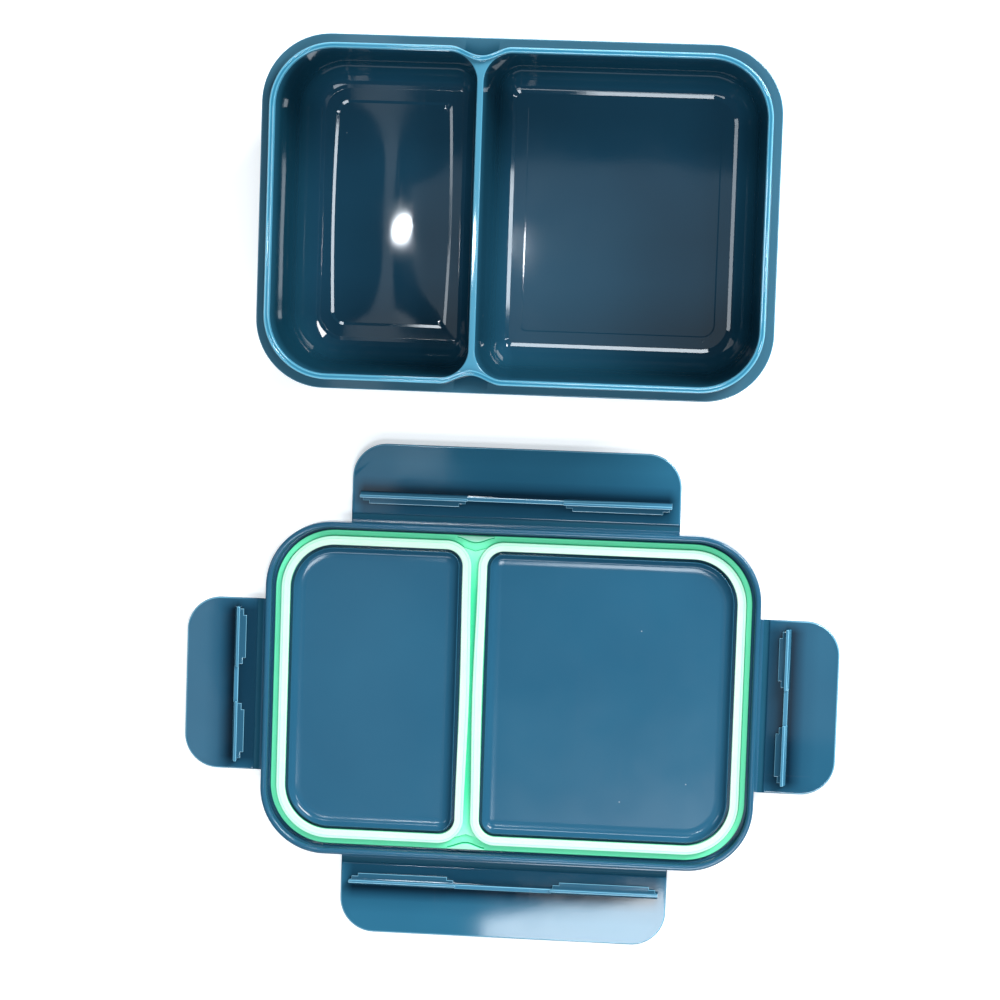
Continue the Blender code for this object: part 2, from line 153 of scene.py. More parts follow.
# Clips
HINGE_HEIGHT = 3.35 * MM
HINGE_OFFSET = 2.6 * MM
CLIP_START = 0.9 * MM
CLIP_THICK = 1.6 * MM
LONG_CLIP = 134.0 * MM
SHORT_CLIP = 71.0 * MM
CLIP_REACH = 29.8 * MM
CLIP_RADIUS = 14.0 * MM
HOOK_FACE = 7.75 * MM
RIB_HEIGHT = 3.7 * MM
RIB_END = 3.5 * MM
RIB_ROUNDING = 0.3 * MM
# Painted shade on the flap beside its rib, at shares of this reach outward from the hinge, where 1 leaves its
# colour as it is
PAINTED_RIB_SHADE_REACH = 22.0 * MM
PAINTED_RIB_SHADE_STOPS = ((0.0, (0.50, 0.55, 0.58)), (0.14, (0.34, 0.40, 0.43)), (0.30, (0.26, 0.32, 0.35)),
                   (0.50, (0.12, 0.17, 0.20)), (0.60, (0.40, 0.46, 0.50)), (0.75, (0.80, 0.84, 0.86)),
                   (1.0, (1.0, 1.0, 1.0)))
HOOK_WIDTH = 2.7 * MM
# Painted highlights on the clips: pale on the marked edges, and a lighter blue on the raised ribs
EDGE_HIGHLIGHT_COLOUR = (0.22, 0.52, 0.68)
RIB_HIGHLIGHT_COLOUR = (0.050, 0.190, 0.30)

# Plastic colours: a base, and the deeper colour that it drifts to. It is one plastic throughout: the long clips are
# set lighter than the short clips and the lid, and the hinge film darker, as painted light and shade
LID_COLOURS = ((0.020, 0.104, 0.178), (0.017, 0.092, 0.162))
LONG_CLIP_COLOURS = ((0.026, 0.140, 0.230), (0.022, 0.123, 0.208))
SHORT_CLIP_COLOURS = ((0.021, 0.108, 0.182), (0.018, 0.095, 0.164))
FILM_COLOURS = ((0.012, 0.078, 0.128), (0.010, 0.070, 0.115))
# Lit and shaded copies of the one plastic: painted shade on the floor and bend, darkest on the inner walls; painted
# light on the outside, flange and rim; a painted highlight on the edges
TRAY_SHADING_TONES = {"floor": (0.012, 0.062, 0.108),
              "bend": (0.009, 0.055, 0.092),
              "wall": (0.003, 0.030, 0.050),
              "upper": (0.014, 0.085, 0.14),
              "outer": (0.018, 0.088, 0.148),
              "flange": (0.042, 0.130, 0.190),
              "rim": (0.030, 0.19, 0.30),
              "edge": (0.14, 0.42, 0.57)}
DUST_COLOUR = (0.3, 0.36, 0.4)

# How much of the painted edge highlight shows on the rim's inner side, the flange and the divider
RIM_INNER_SHARE = 0.55
FLANGE_SHARE = 0.55
DIVIDER_SHARE = 0.4
FLAP_SHARE = 0.6

# Studio, in metres; the camera's turn is in degrees and its lens in mm
FLOOR_HALF = 4.0
FLOOR_GAP = 0.0002
STUDIO_MIDDLE = (0.0, -0.1, 0.0)
CARD_HEIGHT = 1.28
VEIL_HEIGHT = 1.6
LIGHT_COLOUR = (0.86, 0.94, 1.0)
KEY_COLOUR = (1.0, 1.0, 1.0)
CAMERA_PLACE = (0.0864, -0.0054, 1.2796)
CAMERA_TURN = (-4.72, 4.33, 1.94)
CAMERA_LENS = 113.7
CAMERA_SENSOR = 36.0


# ---------------------------------------------------------------- outlines and rings

def corner(centre_x, centre_y, radius, start, steps=CORNER_STEPS):
    """A quarter circle, anticlockwise from the start angle in degrees."""
    points = []
    for step in range(steps + 1):
        angle = math.radians(start + 90 * step / steps)
        points.append((centre_x + radius * math.cos(angle), centre_y + radius * math.sin(angle)))
    return points


def side_points(first, last):
    """The points between two ends of a straight side."""
    shares = [step / SIDE_STEPS for step in range(1, SIDE_STEPS)]
    return [(first[0] + share * (last[0] - first[0]), first[1] + share * (last[1] - first[1]))
            for share in shares]


def rounded_outline(x0, x1, y0, y1, radii):
    """A rectangle with its own corner radii: front right, back right, back left, front left."""
    front_right, back_right, back_left, front_left = radii
    corners = [corner(x1 - front_right, y0 + front_right, front_right, -90),
               corner(x1 - back_right, y1 - back_right, back_right, 0),
               corner(x0 + back_left, y1 - back_left, back_left, 90),
               corner(x0 + front_left, y0 + front_left, front_left, 180)]
    outline = []
    for points, following in zip(corners, corners[1:] + corners[:1]):
        outline += points + side_points(points[-1], following[0])
    return outline


def dip_points(side, half_y, depth):
    """The long side's points at the divider, where the rim runs inwards in a soft V."""
    points = []
    for step in range(DIP_STEPS + 1):
        along = 2 * step / DIP_STEPS - 1
        drop = depth * math.cos(along * math.pi / 2) ** 2
        points.append((DIVIDER_X + side * along * DIP_HALF_WIDTH, -side * (half_y - drop)))
    return points


def dipped_outline(half_x, half_y, radius, depth):
    """A rounded rectangle whose long sides have a dip of this depth at the divider."""
    return (dip_points(1, half_y, depth)
            + corner(half_x - radius, radius - half_y, radius, -90)
            + corner(half_x - radius, half_y - radius, radius, 0)
            + dip_points(-1, half_y, depth)
            + corner(radius - half_x, half_y - radius, radius, 90)
            + corner(radius - half_x, radius - half_y, radius, 180))


def add_ring(bm, outline, height):
    """A ring of vertices along an outline, all at one height."""
    return [bm.verts.new((x, y, height)) for x, y in outline]


def bridge(bm, lower, upper):
    """Joins two rings of equal count with a band of faces."""
    count = len(lower)
    for i in range(count):
        j = (i + 1) % count
        bm.faces.new((lower[i], lower[j], upper[j], upper[i]))


def bridge_all(bm, rings):
    for lower, upper in zip(rings, rings[1:]):
        bridge(bm, lower, upper)


def fill(bm, rings):
    """Fills the flat region that the first ring bounds, with the others as holes."""
    edges = []
    for ring in rings:
        for first, second in zip(ring, ring[1:] + ring[:1]):
            edge = bm.edges.get((first, second))
            edges.append(edge or bm.edges.new((first, second)))
    bmesh.ops.triangle_fill(bm, edges=edges, use_beauty=True, use_dissolve=False)


def quarter(steps=EDGE_STEPS):
    """Pairs of sine and 1 - cosine from 0 to 90 degrees."""
    for step in range(steps + 1):
        angle = math.pi / 2 * step / steps
        yield math.sin(angle), 1 - math.cos(angle)


def add_dome(bm, rim, height, crown):
    """Closes a ring with a smooth pillow that rises by its crown at the middle."""
    xs = [vertex.co.x for vertex in rim]
    ys = [vertex.co.y for vertex in rim]
    centre = Vector(((min(xs) + max(xs)) / 2, (min(ys) + max(ys)) / 2))
    half = Vector(((max(xs) - min(xs)) / 2, (max(ys) - min(ys)) / 2))

    def pillow(x, y):
        return crown * (1 - (x / half.x) ** 2) * (1 - (y / half.y) ** 2)

    rings = [rim]
    for step in range(1, DOME_STEPS):
        share = 1 - step / DOME_STEPS
        ring = []
        for vertex in rim:
            x = vertex.co.x - centre.x
            y = vertex.co.y - centre.y
            lift = pillow(share * x, share * y) - share ** 6 * pillow(x, y)
            ring.append(bm.verts.new((centre.x + share * x, centre.y + share * y, height + lift)))
        rings.append(ring)
    bridge_all(bm, rings)
    top = bm.verts.new((centre.x, centre.y, height + crown))
    last = rings[-1]
    for i, vertex in enumerate(last):
        bm.faces.new((vertex, last[(i + 1) % len(last)], top))


def make_piece(name, bm, material, sharp=PLAIN_CREASE, location=(0, 0, 0), turn=0.0):
    """Turns a finished bmesh into a smooth object with weighted normals."""
    bmesh.ops.remove_doubles(bm, verts=bm.verts, dist=1e-7)
    bmesh.ops.recalc_face_normals(bm, faces=bm.faces)
    mesh = bpy.data.meshes.new(name)
    bm.to_mesh(mesh)
    bm.free()
    obj = bpy.data.objects.new(name, mesh)
    bpy.context.scene.collection.objects.link(obj)
    obj.location = location
    obj.rotation_euler = (0, 0, turn)
    finish_mesh(obj, material, sharp)
    return obj


def finish_mesh(obj, material, sharp):
    obj.data.shade_smooth()
    obj.data.set_sharp_from_angle(angle=math.radians(sharp))
    obj.data.materials.clear()
    obj.data.materials.append(material)
    weighted = obj.modifiers.new("weighted", "WEIGHTED_NORMAL")
    weighted.keep_sharp = True
    weighted.weight = 50


def join_solids(obj, others, material, sharp):
    """Unites an object with other solids, and leaves one plain mesh."""
    obj.modifiers.clear()
    for other in others:
        modifier = obj.modifiers.new("join", "BOOLEAN")
        modifier.operation = "UNION"
        modifier.solver = "EXACT"
        modifier.object = other
    bpy.context.view_layer.update()
    evaluated = obj.evaluated_get(bpy.context.evaluated_depsgraph_get())
    mesh = bpy.data.meshes.new_from_object(evaluated)
    obj.modifiers.clear()
    obj.data = mesh
    for other in others:
        bpy.data.objects.remove(other, do_unlink=True)
    finish_mesh(obj, material, sharp)


# ---------------------------------------------------------------- materials

def new_material(name):
    material = bpy.data.materials.new(name)
    material.use_nodes = True
    nodes = material.node_tree.nodes
    return material, nodes, material.node_tree.links, nodes["Principled BSDF"]


def add_noise(nodes, links, coordinates, scale, detail, roughness=0.5):
    noise = nodes.new("ShaderNodeTexNoise")
    noise.inputs["Scale"].default_value = scale
    noise.inputs["Detail"].default_value = detail
    noise.inputs["Roughness"].default_value = roughness
    links.new(coordinates, noise.inputs["Vector"])
    return noise.outputs["Fac"]


def add_ramp(nodes, links, source, stops):
    ramp = nodes.new("ShaderNodeValToRGB")
    elements = ramp.color_ramp.elements
    while len(elements) < len(stops):
        elements.new(0.5)
    for element, (position, colour) in zip(elements, stops):
        element.position = position
        element.color = colour if len(colour) == 4 else (*colour, 1.0)
    links.new(source, ramp.inputs["Fac"])
    return ramp.outputs["Color"]


def add_range(nodes, links, source, low, high, to_low, to_high):
    remap = nodes.new("ShaderNodeMapRange")
    remap.inputs["From Min"].default_value = low
    remap.inputs["From Max"].default_value = high
    remap.inputs["To Min"].default_value = to_low
    remap.inputs["To Max"].default_value = to_high
    links.new(source, remap.inputs["Value"])
    return remap.outputs["Result"]


def add_bump(nodes, links, height, strength, distance, normal=None):
    bump = nodes.new("ShaderNodeBump")
    bump.inputs["Strength"].default_value = strength
    bump.inputs["Distance"].default_value = distance
    links.new(height, bump.inputs["Height"])
    if normal is not None:
        links.new(normal, bump.inputs["Normal"])
    return bump.outputs["Normal"]


def add_mix(nodes, links, factor, first, second):
    mix = nodes.new("ShaderNodeMix")
    mix.data_type = "RGBA"
    sockets = {"Factor": mix.inputs[0], "A": mix.inputs[6], "B": mix.inputs[7]}
    for key, value in (("Factor", factor), ("A", first), ("B", second)):
        if isinstance(value, bpy.types.NodeSocket):
            links.new(value, sockets[key])
        elif key == "Factor":
            sockets[key].default_value = value
        else:
            sockets[key].default_value = (*value, 1.0)
    return mix.outputs[2]


def add_dust(nodes, links, coordinates, scale, threshold):
    """Sparse specks, as a mask: the heart of a few Voronoi cells."""
    cells = nodes.new("ShaderNodeTexVoronoi")
    cells.inputs["Scale"].default_value = scale
    cells.inputs["Randomness"].default_value = 1.0
    links.new(coordinates, cells.inputs["Vector"])
    near = add_range(nodes, links, cells.outputs["Distance"], 0.03, 0.055, 1.0, 0.0)
    split = nodes.new("ShaderNodeSeparateColor")
    links.new(cells.outputs["Color"], split.inputs["Color"])
    chosen = nodes.new("ShaderNodeMath")
    chosen.operation = "GREATER_THAN"
    chosen.inputs[1].default_value = threshold
    links.new(split.outputs["Red"], chosen.inputs[0])
    mask = nodes.new("ShaderNodeMath")
    mask.operation = "MULTIPLY"
    links.new(near, mask.inputs[0])
    links.new(chosen.outputs[0], mask.inputs[1])
    return mask.outputs[0]


def add_painted_rib_shade(nodes, links, split, colour, half_rib):
    """Paints shade on the flap's inner face on both sides of its rib, and a lighter even shade past the rib's ends.
    """
    reach = add_range(nodes, links, split.outputs["Y"], 0.0, PAINTED_RIB_SHADE_REACH, 0.0, 1.0)
    across = add_ramp(nodes, links, reach, PAINTED_RIB_SHADE_STOPS)
    side = nodes.new("ShaderNodeMath")
    side.operation = "ABSOLUTE"
    links.new(split.outputs["X"], side.inputs[0])
    past = add_range(nodes, links, side.outputs[0], half_rib - 1.5 * MM, half_rib + 3.5 * MM, 0.0, 1.0)
    shade = add_mix(nodes, links, past, across, (0.85, 0.88, 0.9))
    inner_face = add_range(nodes, links, split.outputs["Z"], 0.0, CLIP_THICK / 2, 0.0, 1.0)
    return add_mix(nodes, links, inner_face, colour, add_product(nodes, links, colour, shade))


def plastic_material(name, base, deep, roughness, gloss, thin=None, half_rib=None):
    """Glossy moulded polypropylene: slight colour drift, flow marks, hair scratches and dust; on the clips also
    painted shade beside the ribs and painted highlights on the raised ribs and marked edges.
    """
    material, nodes, links, shader = new_material(name)
    place = nodes.new("ShaderNodeTexCoord").outputs["Object"]
    drift = add_noise(nodes, links, place, 18.0, 2.0)
    colour = add_ramp(nodes, links, drift, ((0.3, deep), (0.7, base)))
    # thin holds the raised ribs' painted highlight: the height it starts at, how far up it grows, and its colour
    if thin is not None:
        split = nodes.new("ShaderNodeSeparateXYZ")
        links.new(place, split.inputs["Vector"])
        level, reach, rib_highlight_colour = thin
        if half_rib is not None:
            colour = add_painted_rib_shade(nodes, links, split, colour, half_rib)
        raised = add_range(nodes, links, split.outputs["Z"], level, level + reach, 0.0, 1.0)
        colour = add_mix(nodes, links, raised, colour, rib_highlight_colour)
        # Painted highlight on the marked edges
        edge = nodes.new("ShaderNodeAttribute")
        edge.attribute_name = "edge"
        colour = add_mix(nodes, links, edge.outputs["Fac"], colour, EDGE_HIGHLIGHT_COLOUR)
    add_surface(nodes, links, shader, place, colour, roughness)
    shader.inputs["Specular IOR Level"].default_value = gloss
    return material


def tray_material(name, tones, roughness):
    """The same plastic on the tray, in painted light and shade: painted shade darkens it down inside, most on the
    inner walls; painted light makes the flange and rim paler, with painted highlights on their edges.
    """
    material, nodes, links, shader = new_material(name)
    place = nodes.new("ShaderNodeTexCoord").outputs["Object"]
    split = nodes.new("ShaderNodeSeparateXYZ")
    links.new(place, split.inputs["Vector"])
    height = add_range(nodes, links, split.outputs["Z"], 0.0, TRAY_HEIGHT, 0.0, 1.0)
    # Painted shade: darker down inside, darkest on the inner walls, paler again near the top
    inner = add_ramp(nodes, links, height, ((0.05, tones["floor"]), (0.16, tones["bend"]),
                                            (0.45, tones["wall"]), (0.78, tones["wall"]),
                                            (0.95, tones["upper"])))
    outside = nodes.new("ShaderNodeAttribute")
    outside.attribute_name = "outside"
    # Painted light: the outside paler, the flange palest
    outer = add_ramp(nodes, links, height, ((0.80, tones["outer"]), (0.88, tones["flange"])))
    body = add_mix(nodes, links, outside.outputs["Fac"], inner, outer)
    # Painted light: the rim's top paler still
    near_top = add_range(nodes, links, height, 0.955, 0.972, 0.0, 1.0)
    topped = add_mix(nodes, links, near_top, body, tones["rim"])
    # Painted highlight on the marked edges
    edge = nodes.new("ShaderNodeAttribute")
    edge.attribute_name = "edge"
    whole = add_mix(nodes, links, edge.outputs["Fac"], topped, tones["edge"])
    drift = add_noise(nodes, links, place, 18.0, 2.0)
    shade = add_ramp(nodes, links, drift, ((0.3, (0.88, 0.9, 0.92)), (0.7, (1.0, 1.0, 1.0))))
    add_surface(nodes, links, shader, place, add_product(nodes, links, whole, shade), roughness)
    return material


def add_product(nodes, links, first, second):
    """Two colours multiplied."""
    product = nodes.new("ShaderNodeMix")
    product.data_type = "RGBA"
    product.blend_type = "MULTIPLY"
    product.inputs[0].default_value = 1.0
    links.new(first, product.inputs[6])
    links.new(second, product.inputs[7])
    return product.outputs[2]


def add_surface(nodes, links, shader, place, colour, roughness):
    """What all the plastics share: dust, hair scratches, smudges and a slightly wavy gloss."""
    dust = add_dust(nodes, links, place, 150.0, 0.93)
    links.new(add_mix(nodes, links, dust, colour, DUST_COLOUR), shader.inputs["Base Color"])

    stretch = nodes.new("ShaderNodeMapping")
    stretch.inputs["Rotation"].default_value = (0.0, 0.0, math.radians(35))
    stretch.inputs["Scale"].default_value = (900.0, 14.0, 60.0)
    links.new(place, stretch.inputs["Vector"])
    scratch = add_noise(nodes, links, stretch.outputs["Vector"], 1.0, 3.0, 0.6)
    hair = add_range(nodes, links, scratch, 0.66, 0.74, 0.0, 1.0)
    smudge = add_noise(nodes, links, place, 45.0, 4.0, 0.6)
    worn = add_range(nodes, links, smudge, 0.35, 0.75, roughness - 0.015, roughness + 0.03)
    rough = nodes.new("ShaderNodeMath")
    rough.operation = "MULTIPLY_ADD"
    rough.inputs[1].default_value = 0.08
    links.new(hair, rough.inputs[0])
    links.new(worn, rough.inputs[2])
    links.new(rough.outputs[0], shader.inputs["Roughness"])

    wave = add_noise(nodes, links, place, 20.0, 1.0)
    normal = add_bump(nodes, links, wave, 0.4, 0.0003)
    fine = add_noise(nodes, links, place, 900.0, 2.0)
    normal = add_bump(nodes, links, fine, 0.08, 0.00002, normal)
    normal = add_bump(nodes, links, dust, 0.5, 0.0001, normal)
    links.new(normal, shader.inputs["Normal"])
    shader.inputs["IOR"].default_value = 1.5


# Silicone colours, from a crease (0) over the channel's floor (about 0.5) to a lip's crown (1): painted shade in
# the creases and down in the channel, a painted highlight on the crowns
SILICONE_SHADING_STOPS = ((0.0, (0.006, 0.40, 0.18)), (0.12, (0.015, 0.50, 0.25)), (0.34, (0.04, 0.62, 0.31)),
                  (0.50, (0.16, 0.74, 0.43)), (0.62, (0.36, 0.84, 0.60)), (0.80, (0.56, 0.84, 0.66)),
                  (1.0, (0.66, 0.83, 0.72)))
# Painted glow: emission that stands in for light scattered up through the silicone where it lies down in its
# channel
PAINTED_SILICONE_GLOW = ((0.30, (0.0, 0.0, 0.0)), (0.44, (0.008, 0.13, 0.06)), (0.52, (0.015, 0.16, 0.08)),
                 (0.62, (0.0, 0.0, 0.0)))


def silicone_material(name):
    """Mint silicone, one colour under painted light and shade: pale as a painted highlight where it stands proud,
    deeper green as painted shade down in its channel, with a faint painted glow there.
    """
    material, nodes, links, shader = new_material(name)
    place = nodes.new("ShaderNodeTexCoord").outputs["Object"]
    painted_shading = nodes.new("ShaderNodeAttribute")
    painted_shading.attribute_name = "painted_shading"
    body = add_ramp(nodes, links, painted_shading.outputs["Fac"], SILICONE_SHADING_STOPS)
    # Painted glow: the silicone's emission stands in for scattered light
    links.new(add_ramp(nodes, links, painted_shading.outputs["Fac"], PAINTED_SILICONE_GLOW), shader.inputs["Emission Color"])
    shader.inputs["Emission Strength"].default_value = 1.0
    mottled = add_noise(nodes, links, place, 120.0, 3.0)
    shade = add_ramp(nodes, links, mottled, ((0.3, (0.93, 0.97, 0.95)), (0.7, (1.0, 1.0, 1.0))))
    links.new(add_product(nodes, links, body, shade), shader.inputs["Base Color"])
    grain = add_noise(nodes, links, place, 1400.0, 2.0)
    links.new(add_bump(nodes, links, grain, 0.15, 0.00004), shader.inputs["Normal"])
    links.new(add_range(nodes, links, mottled, 0.3, 0.7, 0.42, 0.55), shader.inputs["Roughness"])
    shader.inputs["IOR"].default_value = 1.41
    shader.inputs["Subsurface Weight"].default_value = 0.35
    shader.inputs["Subsurface Radius"].default_value = (0.6, 1.2, 0.9)
    shader.inputs["Subsurface Scale"].default_value = 0.0012
    return material


# ---------------------------------------------------------------- tray

def tub_outline(side, outer_inset, divider_inset):
    """A compartment's outline, set in by different amounts from the tray's walls and from the divider."""
    far = RIM_HALF_X - WALL - outer_inset
    near = DIVIDER_HALF + divider_inset
    half_y = RIM_HALF_Y - WALL - outer_inset
    outer = RIM_RADIUS - WALL - outer_inset
    inner = max(DIVIDER_CORNER - 0.75 * outer_inset, SMALLEST_CORNER)
    if side > 0:
        return rounded_outline(DIVIDER_X + near, far, -half_y, half_y, (outer, outer, inner, inner))
    return rounded_outline(-far, DIVIDER_X - near, -half_y, half_y, (inner, inner, outer, outer))


def bowed(outline, bow):
    """The outline with its left and right sides bulging outwards by this much at mid length."""
    xs = [x for x, y in outline]
    half_y = max(y for x, y in outline)
    centre = (min(xs) + max(xs)) / 2
    stretch = bow / (max(xs) - centre)
    return [(centre + (x - centre) * (1 + stretch * (1 - (y / half_y) ** 2)), y) for x, y in outline]


def bend_shares(steps):
    """Shares of reach and depth along an elliptic bend that ends where it slopes by BEND_END_SLOPE."""
    half = math.sqrt(1 - 2 * BEND_END_SLOPE * BEND_INSET / BEND_HEIGHT)
    end = 2 * math.atan(half)
    angles = [end * step / steps for step in range(steps + 1)]
    return [((1 - math.cos(angle)) / (1 - math.cos(end)), math.sin(angle) / math.sin(end))
            for angle in angles]


def add_tub(bm, side, crown, step, band_rise, pad, pad_bow):
    """A compartment's inside, from the divider's top down to its slightly domed floor."""
    ledge_height = TRAY_HEIGHT - DIVIDER_DROP
    rings = []
    for sine, cosine in quarter():
        inset = DIVIDER_LEDGE + DIVIDER_ROUNDING * (sine - 1)
        outer = max(inset, DIVIDER_LEDGE)
        rings.append(add_ring(bm, tub_outline(side, outer, inset), ledge_height - DIVIDER_ROUNDING * cosine))
    bend_top = FLOOR_TOP + FLOOR_STEP + BEND_HEIGHT
    lean = DRAFT * (TRAY_HEIGHT - bend_top)
    for across, down in bend_shares(BEND_STEPS):
        outer = lean + BEND_INSET * across
        divider = lean + DIVIDER_BEND * across
        rings.append(add_ring(bm, tub_outline(side, outer, divider), bend_top - BEND_HEIGHT * down))
    height = FLOOR_TOP + FLOOR_STEP
    chamfer = FLOOR_CHAMFER / MM
    band = PAD_INSET / MM
    # In mm: a narrow ring on each side of the chamfer's creases keeps the shading flat between them
    edge = 0.1
    ramps = ((edge, -edge * step / chamfer), (chamfer - edge, -(chamfer - edge) * step / chamfer),
             (edge, edge * band_rise / band))
    for across, rise in ramps:
        outer += across * MM
        divider += across * MM
        height += rise * MM
        rings.append(add_ring(bm, tub_outline(side, outer, divider), height))
    for across, rise in ((band - edge, (band - edge) * band_rise / band), *pad):
        outer += across * MM
        divider += across * MM
        height += rise * MM
        rings.append(add_ring(bm, bowed(tub_outline(side, outer, divider), pad_bow), height))
    bridge_all(bm, rings)
    add_dome(bm, rings[-1], height, crown)
    return rings[0]


def add_foot_recess(bm, side):
    """The shallow recess under one compartment, inside the foot that the tray stands on."""
    margin = DRAFT * TRAY_HEIGHT + OUTER_BEND_INSET + FOOT_WIDTH
    far = RIM_HALF_X - margin
    half_y = RIM_HALF_Y - margin
    near = DIVIDER_X + side * (SLOT_SECTIONS[0][1] * MM + FOOT_WIDTH)
    x0, x1 = sorted((near, side * far))
    sections = ((0.0, 0.0), (0.25, 0.06), (0.55, 0.4), (0.9, 0.72), (1.4, 0.8))
    rings = []
    for inset, height in sections:
        step = inset * MM
        outline = rounded_outline(x0 + step, x1 - step, step - half_y, half_y - step,
                                  [FOOT_CORNER - step] * 4)
        rings.append(add_ring(bm, outline, height * MM))
    bridge_all(bm, rings)
    fill(bm, rings[-1:])
    return rings[0]


def add_slot(bm):
    """The tapering slot in the underside, up inside the divider."""
    rings = []
    for height, half_width, half_length in SLOT_SECTIONS:
        half_width *= MM
        half_length *= MM
        outline = rounded_outline(DIVIDER_X - half_width, DIVIDER_X + half_width,
                                  -half_length, half_length, [0.9 * half_width] * 4)
        rings.append(add_ring(bm, outline, height * MM))
    bridge_all(bm, rings)
    fill(bm, rings[-1:])
    return rings[0]


def tray_outline(inset, dip=0.0):
    return dipped_outline(RIM_HALF_X - inset, RIM_HALF_Y - inset, RIM_RADIUS - inset, dip)


def flange_outline(inset):
    return dipped_outline(FLANGE_HALF_X - inset, FLANGE_HALF_Y - inset, FLANGE_RADIUS - inset, 0.0)


def mark_zones(tray):
    """Marks the outer surfaces, and the thin edges of rim and flange, for the material, which paints highlights on
    the edges.
    """
    outside = tray.data.attributes.new("outside", "FLOAT", "POINT")
    edge = tray.data.attributes.new("edge", "FLOAT", "POINT")
    middle = 0.5 * WALL
    corner_x = RIM_HALF_X - RIM_RADIUS
    corner_y = RIM_HALF_Y - RIM_RADIUS
    for vertex in tray.data.vertices:
        x, y, z = abs(vertex.co.x), abs(vertex.co.y), vertex.co.z
        round_off = math.hypot(max(x - corner_x, 0.0), max(y - corner_y, 0.0))
        beyond = x > RIM_HALF_X - middle or y > RIM_HALF_Y - middle or round_off > RIM_RADIUS - middle
        outside.data[vertex.index].value = float(beyond or z < FLOOR_TOP - 0.5 * MM)
        on_rim = z > TRAY_HEIGHT - RIM_ROUNDING * 0.75 and abs(z - TRAY_HEIGHT + RIM_DISH) > 0.004 * MM
        level = FLANGE_TOP - z
        on_flange = 0.02 * MM < level < 1.2 * MM and round_off > RIM_RADIUS + 3.0 * MM
        divider_top = TRAY_HEIGHT - DIVIDER_DROP
        on_divider = not beyond and abs(z - divider_top) < 0.3 * MM
        rim_share = 1.0 if beyond else RIM_INNER_SHARE
        edge.data[vertex.index].value = (rim_share if on_rim else FLANGE_SHARE if on_flange
                                         else DIVIDER_SHARE if on_divider else 0.0)


def build_tray(material):
    bm = bmesh.new()
    sections = []
    for sine, cosine in quarter(12):
        inset = DRAFT * (TRAY_HEIGHT - OUTER_BEND_HEIGHT * (1 - sine)) + OUTER_BEND_INSET * cosine
        sections.append((tray_outline(inset), OUTER_BEND_HEIGHT * (1 - sine)))
    sections.reverse()
    under = DRAFT * (TRAY_HEIGHT - FLANGE_BOTTOM)
    fillet = 0.8 * MM
    for sine, cosine in quarter():
        sections.append((tray_outline(under - fillet * cosine), FLANGE_BOTTOM - fillet * (1 - sine)))
    edge = 0.5 * MM
    for sine, cosine in quarter():
        sections.append((flange_outline(edge * (1 - sine)), FLANGE_BOTTOM + edge * cosine))
    for sine, cosine in quarter():
        sections.append((flange_outline(edge * cosine), FLANGE_TOP - edge * (1 - sine)))
    root = 0.4 * MM
    for sine, cosine in quarter():
        sections.append((tray_outline(root * (sine - 1), DIP_DEPTH), FLANGE_TOP + root * cosine))
    for sine, cosine in quarter():
        sections.append((tray_outline(RIM_ROUNDING * cosine, DIP_DEPTH),
                         TRAY_HEIGHT - RIM_ROUNDING * (1 - sine)))
    sections.append((tray_outline(WALL * 0.38, DIP_DEPTH), TRAY_HEIGHT - RIM_DISH))
    sections.append((tray_outline(WALL * 0.62, DIP_DEPTH), TRAY_HEIGHT - RIM_DISH))
    for sine, cosine in quarter():
        sections.append((tray_outline(WALL - RIM_ROUNDING * (1 - sine), DIP_DEPTH),
                         TRAY_HEIGHT - RIM_ROUNDING * cosine))
    sections.append((tray_outline(WALL, DIP_DEPTH), TRAY_HEIGHT - DIVIDER_DROP))
    rings = [add_ring(bm, outline, height) for outline, height in sections]
    bridge_all(bm, rings)
    fill(bm, [rings[-1], add_tub(bm, -1, *LEFT_FLOOR), add_tub(bm, 1, *RIGHT_FLOOR)])
    fill(bm, [rings[0], add_foot_recess(bm, -1), add_slot(bm), add_foot_recess(bm, 1)])
    tray = make_piece("tray_shell", bm, material, sharp=TRAY_CREASE)
    mark_zones(tray)
    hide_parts("base_tray")
    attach(tray, "base")
    return tray


# ---------------------------------------------------------------- lid and seal

def lip_outline(side, inset, bow=0.0):
    """An outline inside the seal's outer edge, bowed towards the divider at mid length."""
    inset_all = LIP_INSET + inset
    far = SEAL_HALF_X - inset_all
    half_y = SEAL_HALF_Y - inset_all
    outer = SEAL_RADIUS - inset_all
    inner = LIP_CORNER - inset
    near = DIVIDER_X + side * (LIP_SPACING_HALF + inset)
    x0, x1 = sorted((near, side * far))
    radii = (outer, outer, inner, inner) if side > 0 else (inner, inner, outer, outer)
    outline = rounded_outline(x0, x1, -half_y, half_y, radii)
    straight = half_y - inner
    bent = []
    for x, y in outline:
        if abs(x - near) < 1e-6 and abs(y) < straight:
            x -= side * bow * math.cos(y / straight * math.pi / 2) ** 2
        bent.append((x, y))
    return bent


